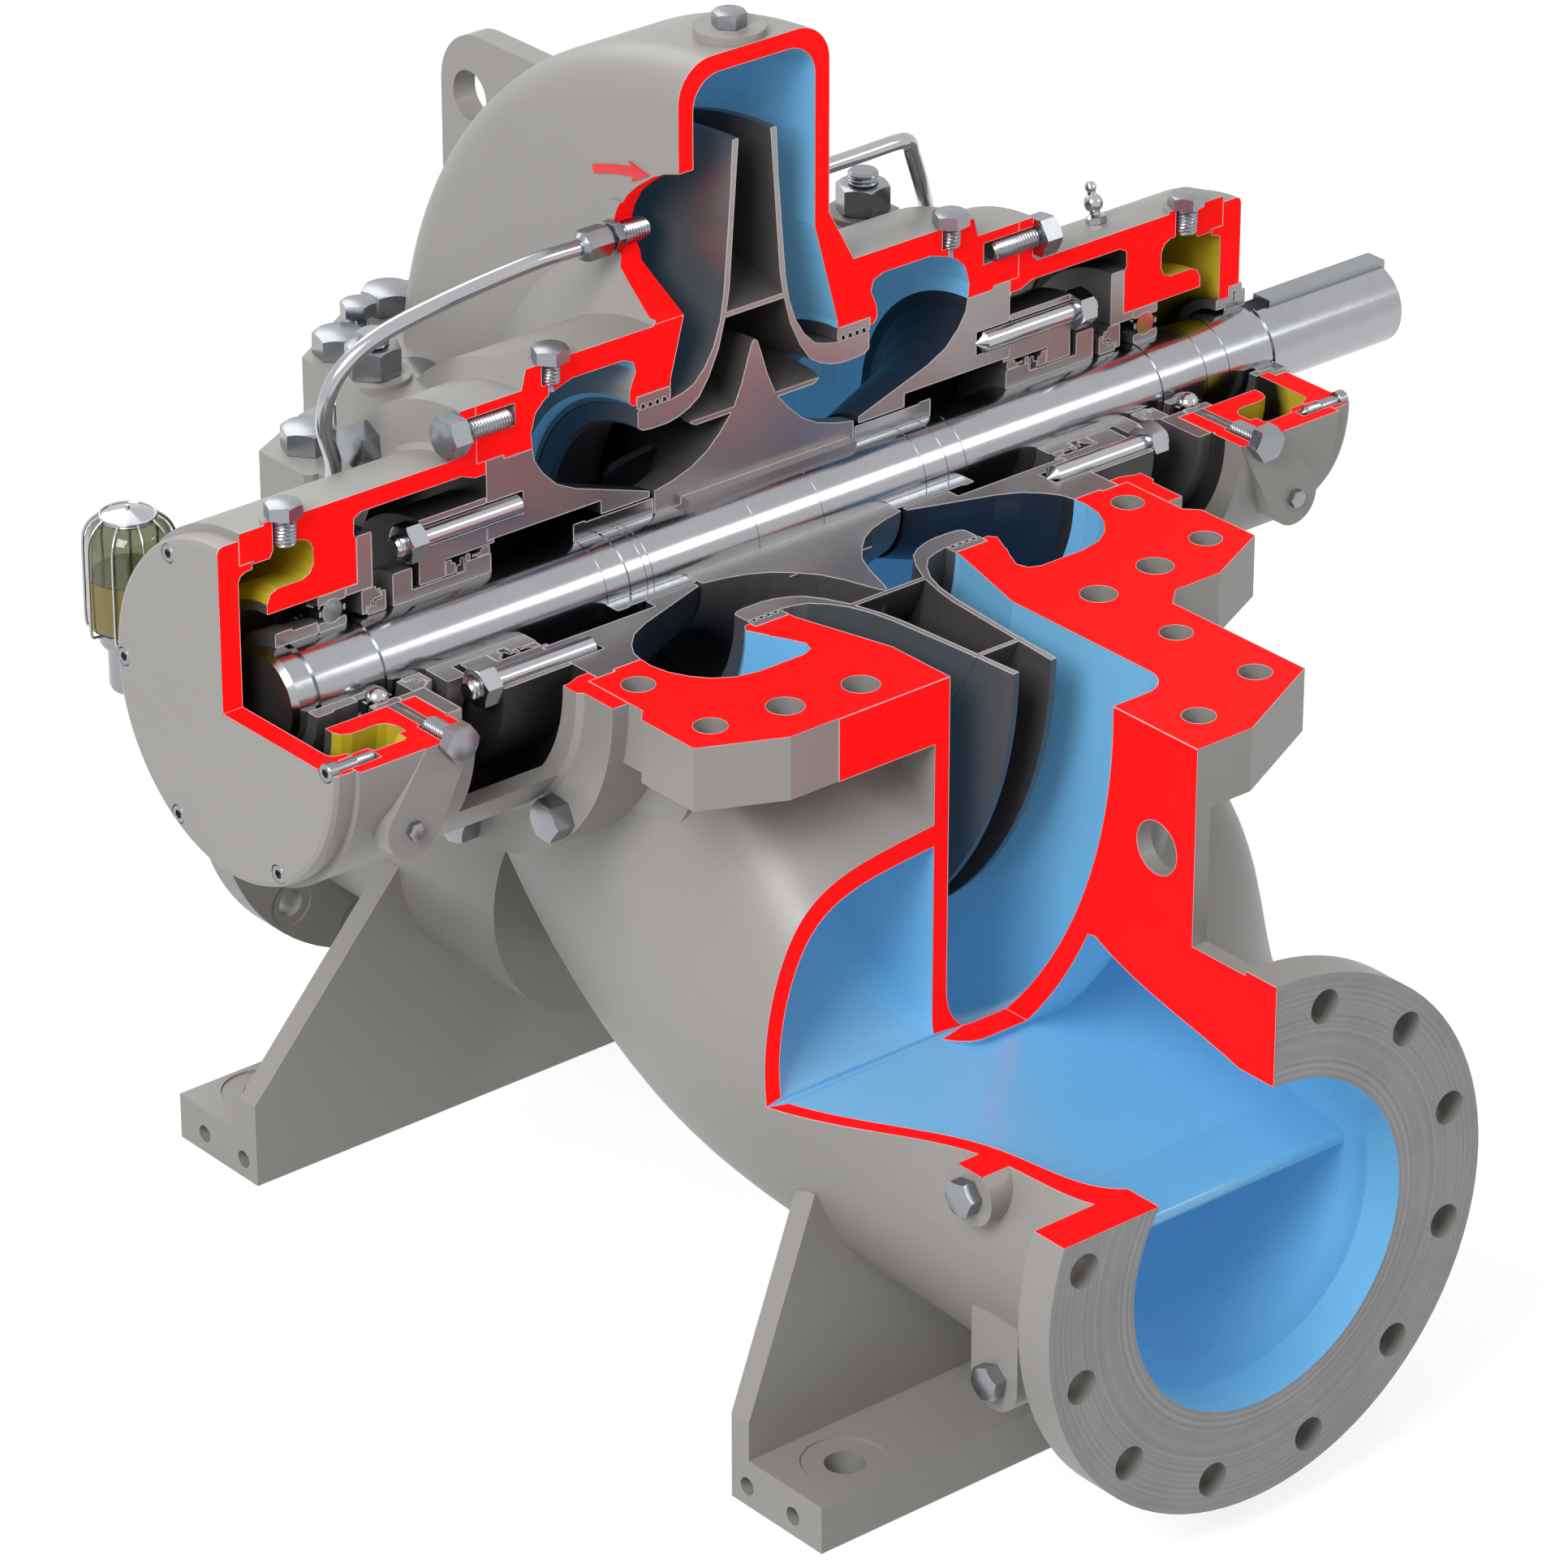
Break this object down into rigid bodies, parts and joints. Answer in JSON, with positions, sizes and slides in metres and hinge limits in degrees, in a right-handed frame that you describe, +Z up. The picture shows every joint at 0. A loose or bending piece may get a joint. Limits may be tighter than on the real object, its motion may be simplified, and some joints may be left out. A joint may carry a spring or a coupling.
{
  "type": "sectioned split case pump",
  "caption": "Horizontal split case centrifugal pump shown as a sectioned display: one front upper quarter cut away over double suction impeller, shaft, seals and bearings.",
  "frame": {"origin": "on the floor under the pump's middle, at the centre of the four foot bolt holes", "axes": "+X along the shaft towards the coupling end, +Y towards the discharge flange, +Z up"},
  "size_m": [1.088, 1.015, 0.9645],
  "materials": {
    "casting": "fine cast, painted satin, with smooth wetted and sectioned faces",
    "impeller_metal": "fine cast",
    "steel": "turned and polished",
    "fixing_steel": "zinc plated",
    "seal_steel": "turned",
    "bronze": "turned",
    "dark_seal": "matte",
    "clear_cup": "clear"
  },
  "bodies": {
    "case": {"casing_bolts": "fixing_steel", "cover_screws": "fixing_steel", "front_foot": "casting", "grease_nipple": "fixing_steel", "housing_bolts": "casting", "left_bearing_housing": "casting", "left_end_cover": "casting", "left_flush_tube": "steel", "left_gland": "seal_steel", "left_gland_studs": "fixing_steel", "left_inner_cover": "seal_steel", "left_isolator": "dark_seal", "left_outer_race": "steel", "left_seal_chamber": "seal_steel", "left_wear_ring": "bronze", "lower_case": "casting", "oiler_body": "fixing_steel", "oiler_cup": "clear_cup", "pipe_plugs": "fixing_steel", "rear_foot": "casting", "right_bearing_housing": "casting", "right_end_cover": "casting", "right_flush_tube": "steel", "right_gland": "seal_steel", "right_gland_studs": "fixing_steel", "right_inner_cover": "seal_steel", "right_isolator": "dark_seal", "right_outer_race": "steel", "right_seal_chamber": "seal_steel", "right_wear_ring": "bronze", "upper_case": "casting"},
    "rotor": {"bearing_balls": "steel", "coupling_key": "steel", "impeller": "impeller_metal", "impeller_key": "steel", "left_inner_race": "steel", "left_lock_nut": "fixing_steel", "left_seal_sleeve": "seal_steel", "left_shaft_sleeve": "seal_steel", "right_inner_race": "steel", "right_seal_sleeve": "seal_steel", "right_shaft_sleeve": "seal_steel", "shaft": "steel"}
  },
  "joints": [
    {"name": "rotor_spin", "type": "hinge", "parent": "case", "child": "rotor", "pos_m": [0, 0, 0.58], "axis": [1, 0, 0], "continuous": true}
  ]
}
